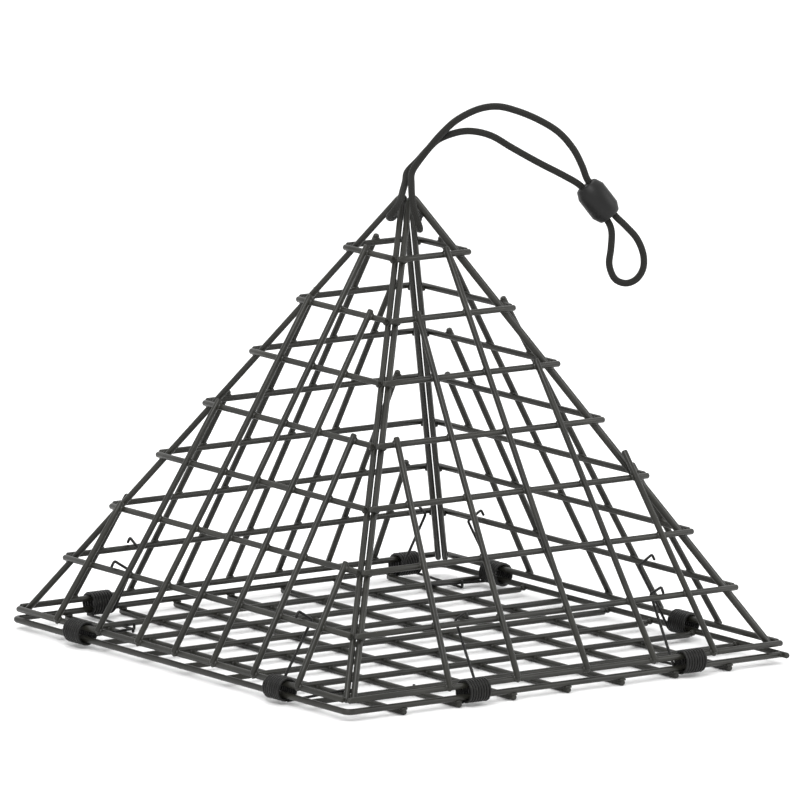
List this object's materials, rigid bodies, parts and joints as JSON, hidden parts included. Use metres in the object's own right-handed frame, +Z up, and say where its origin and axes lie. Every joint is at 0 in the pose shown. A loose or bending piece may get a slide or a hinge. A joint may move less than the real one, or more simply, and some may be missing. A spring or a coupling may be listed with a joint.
{
  "type": "folding crab trap",
  "caption": "Collapsible wire-mesh crab trap: square base, hinged triangular mesh sides on torsion springs, and a cord bridle with a bead slider that pulls the sides shut to a point.",
  "frame": {"origin": "middle of the square base, at the level the trap stands on", "axes": "+Z up towards the tips of the closed trap, -Y towards the front panel, +X towards the right panel"},
  "size_m": [0.3186, 0.3186, 0.3074],
  "materials": {
    "vinyl_wire": "semi-gloss black vinyl coat over steel wire",
    "spring_wire": "black coated spring steel",
    "cord": "black braided cord",
    "slider": "black moulded plastic"
  },
  "bodies": {
    "base": {"base_rim": "vinyl_wire", "base_mesh": "vinyl_wire", "front_spring_1": "spring_wire", "front_spring_2": "spring_wire", "right_spring_1": "spring_wire", "right_spring_2": "spring_wire", "back_spring_1": "spring_wire", "back_spring_2": "spring_wire", "left_spring_1": "spring_wire", "left_spring_2": "spring_wire"},
    "front_panel": {"front_mesh": "vinyl_wire", "front_side_wire": "vinyl_wire"},
    "right_panel": {"right_mesh": "vinyl_wire", "right_side_wire": "vinyl_wire"},
    "back_panel": {"back_mesh": "vinyl_wire", "back_side_wire": "vinyl_wire"},
    "left_panel": {"left_mesh": "vinyl_wire", "left_side_wire": "vinyl_wire"},
    "bridle": {"bridle_cord": "cord"},
    "slider": {"slider": "slider"}
  },
  "joints": [
    {"name": "front_hinge", "type": "hinge", "parent": "base", "child": "front_panel", "pos_m": [0, -0.1525, 0.01172], "axis": [1, 0, 0], "range_deg": [0, 120.78], "deforming": ["front_spring_1", "front_spring_2"]},
    {"name": "right_hinge", "type": "hinge", "parent": "base", "child": "right_panel", "pos_m": [0.1525, 0, 0.01172], "axis": [0, 1, 0], "range_deg": [0, 120.78], "deforming": ["right_spring_1", "right_spring_2"]},
    {"name": "back_hinge", "type": "hinge", "parent": "base", "child": "back_panel", "pos_m": [0, 0.1525, 0.01172], "axis": [-1, 0, 0], "range_deg": [0, 120.78], "deforming": ["back_spring_1", "back_spring_2"]},
    {"name": "left_hinge", "type": "hinge", "parent": "base", "child": "left_panel", "pos_m": [-0.1525, 0, 0.01172], "axis": [0, -1, 0], "range_deg": [0, 120.78], "deforming": ["left_spring_1", "left_spring_2"]},
    {"name": "bridle_fall", "type": "hinge", "parent": "front_panel", "child": "bridle", "pos_m": [0, -0.0098, 0.24552], "axis": [-0.548, 0.4281, 0.7187], "range_deg": [0, 47.5], "deforming": ["bridle_cord"]},
    {"name": "slider_slide", "type": "slide", "parent": "bridle", "child": "slider", "axis": [0.4923, -0.3846, -0.7809], "range_m": [-0.006, 0]}
  ],
  "couplings": [
    {"joint": "bridle_fall", "follows": "front_hinge", "ratio": 0.39244}
  ]
}
